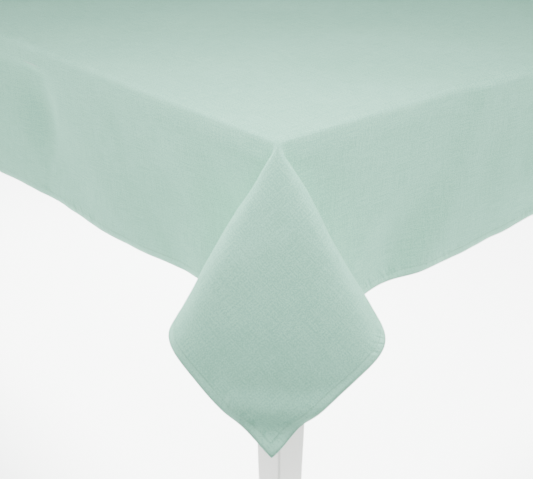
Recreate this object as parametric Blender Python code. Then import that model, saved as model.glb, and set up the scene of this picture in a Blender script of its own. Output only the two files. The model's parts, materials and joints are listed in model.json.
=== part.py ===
"""A hemmed cotton tablecloth laid over a painted four-legged dining table.

The cloth is one woven panel. It lies flat on the table top, hangs straight down each side and
makes a hollow pleat at each corner, where the spare cloth swings forward as a pointed flap.
Its edge is turned under into four mitred hems, each held by a run of thread, and a blank care
label is sewn in at the back hem.

The table is knock-down furniture: a top on four aprons, legs pulled into the corners by a steel
bracket and a hanger bolt, clips under the top, and glides under the feet.

Frame: metres, +Z up, the floor at z = 0, the middle of the table at x = y = 0, length along X.
"""

import math

import bmesh
import bpy
from mathutils import Matrix, Vector

# ---- driving dimensions -------------------------------------------------------------------

GAP = 0.0003  # between neighbouring pieces

TABLE_LENGTH = 1.60
TABLE_WIDTH = 1.00
TABLE_HEIGHT = 0.74
TOP_THICKNESS = 0.028
TOP_CORNER_RADIUS = 0.014
TOP_EDGE_RADIUS = 0.009

LEG_TOP = 0.060  # square section at the aprons
LEG_FOOT = 0.038  # square section at the floor
LEG_INSET = 0.060  # from the edge of the top to the leg's outer faces
LEG_CHAMFER = 0.020  # inner corner, where the hanger bolt enters
FOOT_CHAMFER = 0.007
LEG_EDGE_RADIUS = 0.0025
GLIDE_RADIUS = 0.013
GLIDE_THICKNESS = 0.005

APRON_HEIGHT = 0.085
APRON_THICKNESS = 0.022
APRON_SETBACK = 0.006  # behind the leg's outer faces

BRACKET_REACH = 0.105  # from the outer corner of the aprons' inner faces to its tabs' far ends
BRACKET_TAB = 0.032
BRACKET_HEIGHT = 0.055
BRACKET_THICKNESS = 0.0025

BOLT_RADIUS = 0.004
BOLT_IN_LEG = 0.028
BOLT_PAST_NUT = 0.006
WASHER_RADIUS = 0.011
WASHER_THICKNESS = 0.0016
NUT_RADIUS = 0.0075  # across the corners
NUT_HEIGHT = 0.0065

SCREW_RADIUS = 0.0018
SCREW_LENGTH = 0.014
SCREW_HEAD_RADIUS = 0.004
SCREW_HEAD_HEIGHT = 0.002

CLIP_WIDTH = 0.024
CLIP_REACH = 0.026
CLIP_THICKNESS = 0.002
CLIP_PLACES = (-0.42, 0.42)  # along each long apron

OVERHANG = 0.25  # cloth beyond each edge of the top
CLOTH_THICKNESS = 0.0008
HEM_WIDTH = 0.012
HEM_THICKNESS = 0.0009
STITCH_FROM_HEM_EDGE = 0.0016
FLAT_MARGIN = 0.03  # border of the flat top, inside the folded edges
THREAD_WIDTH = 0.0006
THREAD_HEIGHT = 0.0004

FLARE = 0.015  # how far a drop leans out, per unit of depth
WAVE_FLARE = 0.03  # extra lean at the crest of each soft fold of the drops
CORNER_ZONE = 0.40  # length of drop next to a corner that stays without soft folds
LONG_SIDE_FOLDS = 3
SHORT_SIDE_FOLDS = 1

# The pleat, seen from above where the cloth is one unit below the table's corner: across and
# out are measured from the corner, along the edge and away from the table.
NECK = 0.33  # along the edge, where the drop turns outwards
WING_ACROSS = -0.48
WING_OUT = 0.42
CREST = 0.175
CREST_WIDTH = 0.33

LABEL_WIDTH = 0.030
LABEL_HEIGHT = 0.042
LABEL_THICKNESS = 0.0004
LABEL_PLACE = -0.30  # along the back hem

# ---- places that follow from them ---------------------------------------------------------

TOP_UNDERSIDE = TABLE_HEIGHT - TOP_THICKNESS
FRAME_TOP = TOP_UNDERSIDE - GAP
FRAME_MIDDLE = FRAME_TOP - APRON_HEIGHT / 2
LEG_OUTER = (TABLE_LENGTH / 2 - LEG_INSET, TABLE_WIDTH / 2 - LEG_INSET)
APRON_OUTER = tuple(place - APRON_SETBACK for place in LEG_OUTER)
APRON_INNER = tuple(place - APRON_THICKNESS for place in APRON_OUTER)
LEG_BOTTOM = GLIDE_THICKNESS + GAP

CLOTH_HALF = (TABLE_LENGTH / 2 + GAP, TABLE_WIDTH / 2 + GAP)  # the folded edges
CLOTH_LEVEL = TABLE_HEIGHT + GAP  # underside of the cloth on the top
CORNERS = {
    "front_right": (1, -1),
    "back_right": (1, 1),
    "back_left": (-1, 1),
    "front_left": (-1, -1),
}

# ---- materials ----------------------------------------------------------------------------


def make_material(name, colour, roughness, metallic=0.0):
    material = bpy.data.materials.new(name)
    material.use_nodes = True
    shader = material.node_tree.nodes["Principled BSDF"]
    shader.inputs["Base Color"].default_value = (*colour, 1.0)
    shader.inputs["Roughness"].default_value = roughness
    shader.inputs["Metallic"].default_value = metallic
    return material


# ---- mesh helpers -------------------------------------------------------------------------


def add_object(name, mesh_data, material):
    """Link a finished bmesh as a named object."""
    mesh = bpy.data.meshes.new(name)
    mesh_data.to_mesh(mesh)
    mesh_data.free()
    item = bpy.data.objects.new(name, mesh)
    bpy.context.scene.collection.objects.link(item)
    if material:
        mesh.materials.append(material)
    return item


def box_mesh(size, centre):
    mesh_data = bmesh.new()
    bmesh.ops.create_cube(mesh_data, size=1.0)
    bmesh.ops.scale(mesh_data, vec=size, verts=mesh_data.verts)
    bmesh.ops.translate(mesh_data, vec=centre, verts=mesh_data.verts)
    return mesh_data


def bevel_edges(mesh_data, wanted, width, segments):
    """Round the edges for which wanted(edge direction, edge middle) is true."""
    edges = []
    for edge in mesh_data.edges:
        start, end = (vertex.co for vertex in edge.verts)
        if wanted((end - start).normalized(), (start + end) / 2):
            edges.append(edge)
    bmesh.ops.bevel(
        mesh_data,
        geom=edges,
        offset=width,
        segments=segments,
        profile=0.5,
        affect="EDGES",
        clamp_overlap=True,
    )


def loft(sections):
    """A closed solid through rings of points that all have the same number of points."""
    mesh_data = bmesh.new()
    rings = [[mesh_data.verts.new(point) for point in section] for section in sections]
    count = len(rings[0])
    for lower, upper in zip(rings, rings[1:]):
        for i in range(count):
            j = (i + 1) % count
            mesh_data.faces.new((lower[i], lower[j], upper[j], upper[i]))
    mesh_data.faces.new(list(reversed(rings[0])))
    mesh_data.faces.new(rings[-1])
    bmesh.ops.recalc_face_normals(mesh_data, faces=mesh_data.faces)
    return mesh_data


def turned(profile, sides, start, direction):
    """A solid turned about a line: profile holds (distance along the line, radius) pairs."""
    turn = Vector((0, 0, 1)).rotation_difference(Vector(direction)).to_matrix()
    sections = []
    for along, radius in profile:
        ring = []
        for i in range(sides):
            angle = 2 * math.pi * (i + 0.5) / sides
            point = Vector((radius * math.cos(angle), radius * math.sin(angle), along))
            ring.append(Vector(start) + turn @ point)
        sections.append(ring)
    return loft(sections)


def cut_with(target, cutter):
    """Subtract a cutter object from the target, and keep the cutter out of the model."""
    cutter.hide_render = True
    cutter.display_type = "WIRE"
    modifier = target.modifiers.new(cutter.name, "BOOLEAN")
    modifier.operation = "DIFFERENCE"
    modifier.solver = "EXACT"
    modifier.object = cutter


def drill(target, start, direction, radius, depth):
    """A round hole into the target from just outside its surface at start."""
    profile = ((-4 * GAP, radius), (depth, radius))
    cutter = add_object(
        f"drill_{target.name}_{len(target.modifiers)}",
        turned(profile, 16, start, direction),
        None,
    )
    cut_with(target, cutter)


def add_screw(name, seat, direction, material):
    """A pan-head screw whose head sits on seat and whose shank points along direction."""
    profile = (
        (-SCREW_HEAD_HEIGHT, SCREW_HEAD_RADIUS * 0.6),
        (-SCREW_HEAD_HEIGHT * 0.5, SCREW_HEAD_RADIUS),
        (-GAP, SCREW_HEAD_RADIUS),
        (-GAP, SCREW_RADIUS),
        (SCREW_LENGTH * 0.8, SCREW_RADIUS),
        (SCREW_LENGTH, SCREW_RADIUS * 0.2),
    )
    add_object(name, turned(profile, 12, seat, direction), material)


# ---- table --------------------------------------------------------------------------------


def add_top(paint):
    size = (TABLE_LENGTH, TABLE_WIDTH, TOP_THICKNESS)
    centre = (0, 0, TABLE_HEIGHT - TOP_THICKNESS / 2)
    mesh_data = box_mesh(size, centre)
    bevel_edges(mesh_data, lambda along, middle: abs(along.z) > 0.9, TOP_CORNER_RADIUS, 4)
    bevel_edges(
        mesh_data,
        lambda along, middle: abs(along.z) < 0.1 and middle.z > TABLE_HEIGHT - GAP,
        TOP_EDGE_RADIUS,
        4,
    )
    return add_object("table_top", mesh_data, paint)


def add_aprons(paint):
    """The four rails between the legs, keyed by side."""
    spans = [2 * (outer - LEG_TOP - GAP) for outer in LEG_OUTER]
    middles = [outer - APRON_THICKNESS / 2 for outer in APRON_OUTER]
    layout = {
        "front": ((spans[0], APRON_THICKNESS), (0, -middles[1])),
        "back": ((spans[0], APRON_THICKNESS), (0, middles[1])),
        "left": ((APRON_THICKNESS, spans[1]), (-middles[0], 0)),
        "right": ((APRON_THICKNESS, spans[1]), (middles[0], 0)),
    }
    aprons = {}
    for side, (footprint, place) in layout.items():
        mesh_data = box_mesh((*footprint, APRON_HEIGHT), (*place, FRAME_MIDDLE))
        low = FRAME_TOP - APRON_HEIGHT + GAP
        bevel_edges(
            mesh_data, lambda along, middle: abs(along.z) < 0.1 and middle.z < low, 0.002, 2
        )
        aprons[side] = add_object(f"apron_{side}", mesh_data, paint)
    return aprons


def rounded_outline(outline, radius):
    """The outline with each corner replaced by a short arc of two straight steps."""
    rounded = []
    for i, point in enumerate(outline):
        corner = Vector(point)
        before = (Vector(outline[i - 1]) - corner).normalized()
        after = (Vector(outline[(i + 1) % len(outline)]) - corner).normalized()
        half_angle = before.angle(after) / 2
        reach = radius / math.tan(half_angle)
        centre = corner + (before + after).normalized() * radius / math.sin(half_angle)
        middle = centre + (corner - centre).normalized() * radius
        rounded += [corner + before * reach, middle, corner + after * reach]
    return rounded


def leg_section(signs, width, chamfer, level):
    """Outline of a leg at one level, with its outer faces at the leg's fixed outer corner."""
    outline = (
        (0, 0),
        (width, 0),
        (width, width - chamfer),
        (width - chamfer, width),
        (0, width),
    )
    return [
        (signs[0] * (LEG_OUTER[0] - x), signs[1] * (LEG_OUTER[1] - y), level)
        for x, y in rounded_outline(outline, LEG_EDGE_RADIUS)
    ]


def add_leg(corner, signs, paint):
    block_end = FRAME_TOP - APRON_HEIGHT - 0.01
    sections = [
        leg_section(signs, LEG_FOOT, FOOT_CHAMFER, LEG_BOTTOM),
        leg_section(signs, LEG_TOP, LEG_CHAMFER, block_end),
        leg_section(signs, LEG_TOP, LEG_CHAMFER, FRAME_TOP),
    ]
    return add_object(f"leg_{corner}", loft(sections), paint)


def add_glide(corner, signs, felt):
    centre = [s * (outer - LEG_FOOT / 2) for s, outer in zip(signs, LEG_OUTER)]
    profile = ((0, GLIDE_RADIUS), (GLIDE_THICKNESS, GLIDE_RADIUS))
    mesh_data = turned(profile, 20, (*centre, 0), (0, 0, 1))
    add_object(f"glide_{corner}", mesh_data, felt)


def bracket_plan():
    """Centre line of a corner bracket in plan, measured inwards from the aprons' inner corner.

    It runs along one apron, crosses the corner at 45 degrees and runs along the other apron.
    """
    half = BRACKET_THICKNESS / 2 + GAP
    turn = BRACKET_REACH - BRACKET_TAB
    return ((BRACKET_REACH, half), (turn, half), (half, turn), (half, BRACKET_REACH))


def thick_line(points, thickness):
    """Outline in plan of a bent strip about its centre line, with mitred bends."""
    sides = ([], [])
    for i, point in enumerate(points):
        before = points[max(i - 1, 0)]
        after = points[min(i + 1, len(points) - 1)]
        first = Vector(point) - Vector(before)
        second = Vector(after) - Vector(point)
        first = (first if first.length else second).normalized()
        second = (second if second.length else first).normalized()
        normal = Vector((-first.y - second.y, first.x + second.x)).normalized()
        reach = thickness / 2 / max(normal.dot(Vector((-first.y, first.x))), 0.3)
        sides[0].append(Vector(point) + normal * reach)
        sides[1].append(Vector(point) - normal * reach)
    return sides[0] + sides[1][::-1]


def corner_place(signs, inwards_x, inwards_y, level):
    """World place measured inwards from where two aprons' inner faces would meet."""
    return Vector(
        (
            signs[0] * (APRON_INNER[0] - inwards_x),
            signs[1] * (APRON_INNER[1] - inwards_y),
            level,
        )
    )


def add_bracket(corner, signs, steel):
    outline = thick_line([Vector(point) for point in bracket_plan()], BRACKET_THICKNESS)
    low = FRAME_MIDDLE - BRACKET_HEIGHT / 2
    sections = [
        [corner_place(signs, x, y, level) for x, y in outline]
        for level in (low, low + BRACKET_HEIGHT)
    ]
    return add_object(f"corner_bracket_{corner}", loft(sections), steel)


def fit_leg(corner, signs, leg, bracket, aprons, steel):
    """Hanger bolt, washer, nut and the two screws that hold one bracket and its leg."""
    inwards = Vector((-signs[0], -signs[1], 0)).normalized()
    diagonal = (BRACKET_REACH - BRACKET_TAB + BRACKET_THICKNESS / 2 + GAP) / 2
    plate = corner_place(signs, diagonal, diagonal, FRAME_MIDDLE)
    chamfer_point = LEG_TOP - LEG_CHAMFER / 2
    leg_face = Vector(
        (
            signs[0] * (LEG_OUTER[0] - chamfer_point),
            signs[1] * (LEG_OUTER[1] - chamfer_point),
            FRAME_MIDDLE,
        )
    )
    drill(leg, leg_face, -inwards, BOLT_RADIUS + GAP, BOLT_IN_LEG + 2 * GAP)
    drill(
        bracket,
        plate - inwards * 3 * BRACKET_THICKNESS,
        inwards,
        BOLT_RADIUS + GAP,
        6 * BRACKET_THICKNESS,
    )
    washer_seat = plate + inwards * (BRACKET_THICKNESS / 2 + GAP)
    nut_seat = washer_seat + inwards * (WASHER_THICKNESS + GAP)
    bolt_end = nut_seat + inwards * (NUT_HEIGHT + BOLT_PAST_NUT)
    bolt_start = leg_face - inwards * BOLT_IN_LEG
    length = (bolt_end - bolt_start).length
    tip = 0.001
    profile = (
        (0, BOLT_RADIUS - tip),
        (tip, BOLT_RADIUS),
        (length - tip, BOLT_RADIUS),
        (length, BOLT_RADIUS - tip),
    )
    add_object(f"hanger_bolt_{corner}", turned(profile, 16, bolt_start, inwards), steel)
    ring = ((0, WASHER_RADIUS), (WASHER_THICKNESS, WASHER_RADIUS))
    washer = add_object(f"washer_{corner}", turned(ring, 24, washer_seat, inwards), steel)
    drill(washer, washer_seat, inwards, BOLT_RADIUS + GAP, 2 * WASHER_THICKNESS)
    block = ((0, NUT_RADIUS), (NUT_HEIGHT, NUT_RADIUS))
    nut = add_object(f"nut_{corner}", turned(block, 6, nut_seat, inwards), steel)
    drill(nut, nut_seat, inwards, BOLT_RADIUS + GAP, 2 * NUT_HEIGHT)

    along = BRACKET_REACH - BRACKET_TAB / 2
    face = BRACKET_THICKNESS + GAP
    long_side = "back" if signs[1] > 0 else "front"
    short_side = "right" if signs[0] > 0 else "left"
    seats = {
        long_side: (corner_place(signs, along, face, FRAME_MIDDLE), Vector((0, signs[1], 0))),
        short_side: (corner_place(signs, face, along, FRAME_MIDDLE), Vector((signs[0], 0, 0))),
    }
    for side, (seat, direction) in seats.items():
        for target in (bracket, aprons[side]):
            drill(target, seat, direction, SCREW_RADIUS + GAP, SCREW_LENGTH + 2 * GAP)
        add_screw(f"bracket_screw_{corner}_{side}", seat, direction, steel)


def add_clip(name, place_x, side_sign, top, apron, steel):
    """An angle clip between a long apron and the underside of the top, with its two screws."""
    inner = APRON_INNER[1] - GAP
    under = TOP_UNDERSIDE - GAP
    outline = (
        (0, 0),
        (0, -CLIP_REACH),
        (CLIP_THICKNESS, -CLIP_REACH),
        (CLIP_THICKNESS, -CLIP_THICKNESS),
        (CLIP_REACH, -CLIP_THICKNESS),
        (CLIP_REACH, 0),
    )
    sections = [
        [(place_x + shift, side_sign * (inner - y), under + z) for y, z in outline]
        for shift in (-CLIP_WIDTH / 2, CLIP_WIDTH / 2)
    ]
    clip = add_object(f"top_clip_{name}", loft(sections), steel)
    reach = CLIP_REACH * 0.6
    up_seat = Vector((place_x, side_sign * (inner - reach), under - CLIP_THICKNESS))
    out_seat = Vector((place_x, side_sign * (inner - CLIP_THICKNESS), under - reach))
    fittings = {
        "up": (up_seat, Vector((0, 0, 1)), top),
        "side": (out_seat, Vector((0, side_sign, 0)), apron),
    }
    for way, (seat, direction, wood) in fittings.items():
        for target in (clip, wood):
            drill(target, seat, direction, SCREW_RADIUS + GAP, SCREW_LENGTH + 2 * GAP)
        add_screw(f"clip_screw_{name}_{way}", seat, direction, steel)


def add_table():
    paint = make_material("painted_wood", (0.80, 0.79, 0.76), 0.45)
    steel = make_material("zinc_steel", (0.55, 0.56, 0.58), 0.35, 1.0)
    felt = make_material("felt", (0.25, 0.23, 0.21), 0.95)
    top = add_top(paint)
    aprons = add_aprons(paint)
    for corner, signs in CORNERS.items():
        leg = add_leg(corner, signs, paint)
        add_glide(corner, signs, felt)
        bracket = add_bracket(corner, signs, steel)
        fit_leg(corner, signs, leg, bracket, aprons, steel)
    for side, sign in (("front", -1), ("back", 1)):
        for hand, place in zip(("left", "right"), CLIP_PLACES):
            add_clip(f"{side}_{hand}", place, sign, top, aprons[side], steel)


# ---- the pleat at a corner ----------------------------------------------------------------


def smooth_curve(points, steps):
    """Points along the uniform cubic B-spline of a control polygon."""
    curve = []
    for i in range(len(points) - 3):
        for step in range(steps):
            t = step / steps
            weights = (
                (1 - t) ** 3 / 6,
                (3 * t**3 - 6 * t**2 + 4) / 6,
                (-3 * t**3 + 3 * t**2 + 3 * t + 1) / 6,
                t**3 / 6,
            )
            near = [Vector(point) for point in points[i : i + 4]]
            curve.append(sum((w * p for w, p in zip(weights, near)), Vector((0, 0))))
    return curve


def pleat_directions(wing_scale):
    """Unit directions from the corner to each point of the pleat, in (across, out, up)."""
    wing = (WING_ACROSS * wing_scale, WING_OUT * wing_scale)
    half = [
        (-NECK - 0.9, FLARE),
        (-NECK - 0.7, FLARE),
        (-NECK - 0.5, FLARE),
        (-NECK - 0.3, FLARE),
        (-NECK, FLARE),
        wing,
        (CREST - CREST_WIDTH, CREST + CREST_WIDTH),
    ]
    points = half + [(CREST, CREST)] + [(y, x) for x, y in reversed(half)]
    return [Vector((x, y, -1)).normalized() for x, y in smooth_curve(points, 24)]


def cloth_angles(directions):
    """Angle of each direction on the flat cloth, from the edge that the pleat starts at."""
    angles = [directions[0].angle(Vector((-1, 0, 0)))]
    for before, after in zip(directions, directions[1:]):
        angles.append(angles[-1] + before.angle(after))
    return angles


def make_pleat():
    """The pleat that takes up exactly the three right angles of cloth outside the top."""
    low, high = 0.3, 3.0
    for _ in range(40):
        scale = (low + high) / 2
        directions = pleat_directions(scale)
        angles = cloth_angles(directions)
        spare = angles[-1] + directions[-1].angle(Vector((0, -1, 0))) - 1.5 * math.pi
        if spare > 0:
            high = scale
        else:
            low = scale
    return directions, angles


PLEAT_DIRECTIONS, PLEAT_ANGLES = make_pleat()


def pleat_direction(angle):
    """Direction from the corner of the cloth that lies at this angle when flat."""
    lean = Vector((0, FLARE, -1)).normalized()
    if angle <= PLEAT_ANGLES[0]:
        return Vector((-math.cos(angle), 0, 0)) + math.sin(angle) * lean
    if angle >= PLEAT_ANGLES[-1]:
        mirrored = pleat_direction(1.5 * math.pi - angle)
        return Vector((mirrored.y, mirrored.x, mirrored.z))
    after = next(i for i, known in enumerate(PLEAT_ANGLES) if known >= angle)
    before = after - 1
    share = (angle - PLEAT_ANGLES[before]) / (PLEAT_ANGLES[after] - PLEAT_ANGLES[before])
    return PLEAT_DIRECTIONS[before].lerp(PLEAT_DIRECTIONS[after], share).normalized()


# ---- cloth --------------------------------------------------------------------------------


def wave_flare(along, half_length, folds):
    """Lean of a drop at a place along its side: soft folds that die out near the corners."""
    free = half_length - CORNER_ZONE
    if abs(along) >= free:
        return FLARE
    phase = (along / free + 1) / 2
    return FLARE + WAVE_FLARE * math.sin(math.pi * folds * phase) ** 2


def drape(flat):
    """Place on the inner face of the hanging cloth of a point given on the flat cloth."""
    u, v = flat
    sign_u = 1 if u >= 0 else -1
    sign_v = 1 if v >= 0 else -1
    past_u = abs(u) - CLOTH_HALF[0]
    past_v = abs(v) - CLOTH_HALF[1]
    if past_u <= 0 and past_v <= 0:
        return Vector((u, v, CLOTH_LEVEL))
    if past_u < -CORNER_ZONE or past_v < -CORNER_ZONE:
        long_side = past_u < -CORNER_ZONE
        along, hang = (u, past_v) if long_side else (v, past_u)
        half = CLOTH_HALF[0] if long_side else CLOTH_HALF[1]
        folds = LONG_SIDE_FOLDS if long_side else SHORT_SIDE_FOLDS
        lean = wave_flare(along, half, folds)
        out = hang * lean / math.hypot(lean, 1)
        level = CLOTH_LEVEL - hang / math.hypot(lean, 1)
        if long_side:
            return Vector((u, sign_v * (CLOTH_HALF[1] + out), level))
        return Vector((sign_u * (CLOTH_HALF[0] + out), v, level))
    angle = math.atan2(past_v, -past_u) % (2 * math.pi)
    local = math.hypot(past_u, past_v) * pleat_direction(angle)
    return Vector(
        (
            sign_u * (CLOTH_HALF[0] + local.x),
            sign_v * (CLOTH_HALF[1] + local.y),
            CLOTH_LEVEL + local.z,
        )
    )


def corner_steps():
    """Places along a hem, past the corner of the top, where the draped cloth is bent.

    They run from the start of the corner zone to the tip, closer together in the pleat.
    """
    coarse = [-CORNER_ZONE * share for share in (1.0, 0.8, 0.62, 0.48, 0.38)]
    start = coarse[-1]
    count = math.ceil((OVERHANG - start) / 0.0125)
    fine = [start + (OVERHANG - start) * i / count for i in range(1, count + 1)]
    return coarse + fine


def hem_stations(half_length):
    """Stations along one side's hem: (place along the hem, place its ray starts from).

    In the corner zones a ray starts from the corner of the top. Between them it is square to
    the edge, so it starts opposite the station.
    """
    corner = [(half_length + step, half_length) for step in corner_steps()]
    free = half_length - CORNER_ZONE
    count = max(4, math.ceil(2 * free / 0.06))
    middle = [-free + 2 * free * i / count for i in range(count + 1)]
    left = [(-place, -start) for place, start in reversed(corner)]
    return left + [(place, place) for place in middle] + corner


def on_side(side, along, hang):
    """A point of the flat cloth, from a place along a side and its distance past the edge."""
    if side in ("front", "back"):
        sign = -1 if side == "front" else 1
        return (along, sign * (CLOTH_HALF[1] + hang))
    sign = -1 if side == "left" else 1
    return (sign * (CLOTH_HALF[0] + hang), along)


def along_ray(station, hang):
    """Place along the side where a station's ray is this far past the edge."""
    place, start = station
    return start + (place - start) * hang / OVERHANG


class Sheet:
    """Faces given on the flat cloth, then draped and given a thickness."""

    def __init__(self):
        self.points = {}
        self.faces = []

    def point(self, flat):
        key = (round(flat[0], 6), round(flat[1], 6))
        return self.points.setdefault(key, (len(self.points), flat))[0]

    def face(self, *flats):
        corners = []
        for flat in flats:
            index = self.point(flat)
            if index not in corners:
                corners.append(index)
        if len(corners) > 2:
            self.faces.append(corners)

    def solid(self, name, low, high, material):
        """The draped sheet between two distances from the cloth's inner face."""
        mesh_data = bmesh.new()
        flats = [flat for _, flat in self.points.values()]
        base = [mesh_data.verts.new(drape(flat)) for flat in flats]
        for corners in self.faces:
            mesh_data.faces.new([base[i] for i in corners])
        bmesh.ops.recalc_face_normals(mesh_data, faces=mesh_data.faces)
        mesh_data.normal_update()
        if self.faces_inwards(mesh_data):
            bmesh.ops.reverse_faces(mesh_data, faces=mesh_data.faces)
        mesh_data.normal_update()
        normals = [vertex.normal.copy() for vertex in base]
        copy = bmesh.ops.duplicate(mesh_data, geom=mesh_data.faces)
        twins = copy["vert_map"]
        outer = [twins[vertex] for vertex in base]
        under = [item for item in mesh_data.faces if item.verts[0] in set(base)]
        rim = [edge for edge in mesh_data.edges if edge.is_boundary and edge.verts[0] in set(base)]
        for edge in rim:
            start, end = edge.verts
            mesh_data.faces.new((start, end, twins[end], twins[start]))
        bmesh.ops.reverse_faces(mesh_data, faces=under)
        for vertex, twin, normal in zip(base, outer, normals):
            place = vertex.co.copy()
            vertex.co = place + normal * low
            twin.co = place + normal * high
        bmesh.ops.recalc_face_normals(mesh_data, faces=mesh_data.faces)
        return add_object(name, mesh_data, material)

    @staticmethod
    def faces_inwards(mesh_data):
        """Whether the sheet's faces look at the table instead of away from it."""
        middle = Vector((0, 0, CLOTH_LEVEL - OVERHANG))
        total = sum(
            face.normal.dot(face.calc_center_median() - middle) * face.calc_area()
            for face in mesh_data.faces
        )
        return total < 0


def add_panel(cotton):
    sheet = Sheet()
    inner_hang = OVERHANG - HEM_WIDTH
    rows = (0, OVERHANG * 0.5, inner_hang, OVERHANG)
    middle = []
    for side in ("front", "right", "back", "left"):
        half = CLOTH_HALF[0] if side in ("front", "back") else CLOTH_HALF[1]
        stations = hem_stations(half)
        for pair in zip(stations, stations[1:]):
            inner = [on_side(side, along_ray(item, inner_hang), inner_hang) for item in pair]
            outer = [on_side(side, place, OVERHANG) for place, _ in pair]
            sheet.face(inner[0], outer[0], outer[1], inner[1])
            if all(place == start for place, start in pair):
                for upper, lower in zip(rows, rows[1:-1]):
                    corners = [(pair[0], upper), (pair[1], upper), (pair[1], lower), (pair[0], lower)]
                    sheet.face(*(on_side(side, item[0], hang) for item, hang in corners))
            elif pair[0][1] == pair[1][1]:
                sheet.face(on_side(side, pair[0][1], 0), *inner)
            else:
                cut = pair[0][0]
                corner = max(pair[0][1], pair[1][1], key=abs)
                fan = [on_side(side, cut, hang) for hang in rows[:-1]]
                fan.append(on_side(side, along_ray((cut, corner), inner_hang), inner_hang))
                for before, after in zip(fan, fan[1:]):
                    sheet.face(on_side(side, corner, 0), before, after)
        edge = [-half] + [place for place, start in stations if place == start] + [half]
        inset = (FLAT_MARGIN - half, half - FLAT_MARGIN)
        border = [on_side(side, place, -FLAT_MARGIN) for place in inset]
        sheet.face(*(on_side(side, place, 0) for place in edge), *reversed(border))
        middle.append(border[0] if side in ("front", "right") else border[1])
    sheet.face(*middle)
    sheet.solid("cloth_panel", 0, CLOTH_THICKNESS, cotton)


def band(side, inner_hang, outer_hang, end_gap):
    """A strip of cloth along one hem, mitred at the two tips and just short of them."""
    half = CLOTH_HALF[0] if side in ("front", "back") else CLOTH_HALF[1]
    stations = hem_stations(half)
    last = half + OVERHANG - end_gap
    stations[0] = (-last, -half)
    stations[-1] = (last, half)
    sheet = Sheet()
    for first, second in zip(stations, stations[1:]):
        sheet.face(
            on_side(side, along_ray(first, inner_hang), inner_hang),
            on_side(side, along_ray(second, inner_hang), inner_hang),
            on_side(side, along_ray(second, outer_hang), outer_hang),
            on_side(side, along_ray(first, outer_hang), outer_hang),
        )
    return sheet


def add_hems(cotton, thread):
    for side in ("front", "right", "back", "left"):
        inner = OVERHANG - HEM_WIDTH
        hem = band(side, inner, OVERHANG - GAP, 2 * GAP)
        hem.solid(f"hem_{side}", -GAP - HEM_THICKNESS, -GAP, cotton)
        seam = inner + STITCH_FROM_HEM_EDGE
        run = band(side, seam, seam + THREAD_WIDTH, 4 * GAP)
        low = CLOTH_THICKNESS + GAP
        run.solid(f"hem_thread_{side}", low, low + THREAD_HEIGHT, thread)


def add_label(tape):
    """A blank tape label on the inside of the back drop, standing on the hem's edge."""
    low = OVERHANG - HEM_WIDTH - GAP
    high = low - LABEL_HEIGHT
    sheet = Sheet()
    places = (LABEL_PLACE - LABEL_WIDTH / 2, LABEL_PLACE + LABEL_WIDTH / 2)
    sheet.face(
        on_side("back", places[0], high),
        on_side("back", places[1], high),
        on_side("back", places[1], low),
        on_side("back", places[0], low),
    )
    sheet.solid("care_label", -3 * GAP - LABEL_THICKNESS, -3 * GAP, tape)


def add_cloth():
    cotton = make_material("cotton", (0.46, 0.58, 0.53), 0.85)
    thread = make_material("thread", (0.44, 0.56, 0.51), 0.6)
    tape = make_material("label_tape", (0.85, 0.85, 0.82), 0.7)
    add_panel(cotton)
    add_hems(cotton, thread)
    add_label(tape)


def main():
    for item in list(bpy.data.objects):
        bpy.data.objects.remove(item, do_unlink=True)
    add_table()
    add_cloth()


main()
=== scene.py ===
"""Looks of a hemmed cotton tablecloth that hangs over a painted dining table.

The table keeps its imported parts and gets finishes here. The cloth is made here as one woven
panel with turned hems, rows of stitches and a blank label, and it takes the place of the plain
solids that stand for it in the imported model. Lengths are in metres and +Z is up.
"""

import json
import logging
import math
from dataclasses import dataclass, field
from enum import Enum

import bpy
import numpy as np
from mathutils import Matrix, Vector


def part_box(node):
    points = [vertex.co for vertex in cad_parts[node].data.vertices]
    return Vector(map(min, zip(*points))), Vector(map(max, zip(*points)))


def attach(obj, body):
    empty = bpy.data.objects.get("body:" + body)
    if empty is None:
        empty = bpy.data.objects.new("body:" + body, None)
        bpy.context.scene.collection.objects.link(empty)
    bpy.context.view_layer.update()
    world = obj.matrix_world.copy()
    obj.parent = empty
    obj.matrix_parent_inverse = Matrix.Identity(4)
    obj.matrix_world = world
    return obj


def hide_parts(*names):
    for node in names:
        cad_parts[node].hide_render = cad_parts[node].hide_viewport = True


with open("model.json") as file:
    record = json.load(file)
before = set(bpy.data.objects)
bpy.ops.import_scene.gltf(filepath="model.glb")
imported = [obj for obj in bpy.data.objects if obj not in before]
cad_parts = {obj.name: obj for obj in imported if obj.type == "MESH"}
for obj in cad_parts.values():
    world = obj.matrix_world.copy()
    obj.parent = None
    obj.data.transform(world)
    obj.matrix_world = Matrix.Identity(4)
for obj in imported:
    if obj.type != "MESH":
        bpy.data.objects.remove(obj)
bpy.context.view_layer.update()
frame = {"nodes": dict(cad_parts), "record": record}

LOG = logging.getLogger("tablecloth")
MM = 0.001
RIGHT_ANGLE = math.pi / 2
FULL_TURN = 2 * math.pi
TINY = 1e-9  # keeps a division by a length away from zero
Colour = tuple[float, float, float]
CLOTH_PLANE = "cloth_plane"  # attribute: place on the flat cloth and distance from its edge
HEM_WIDTH = 12 * MM
BEYOND_HEM = 30 * MM  # a distance from the edge at which the cotton shows no hem or seam


# ---- shading --------------------------------------------------------------------------------


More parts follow.
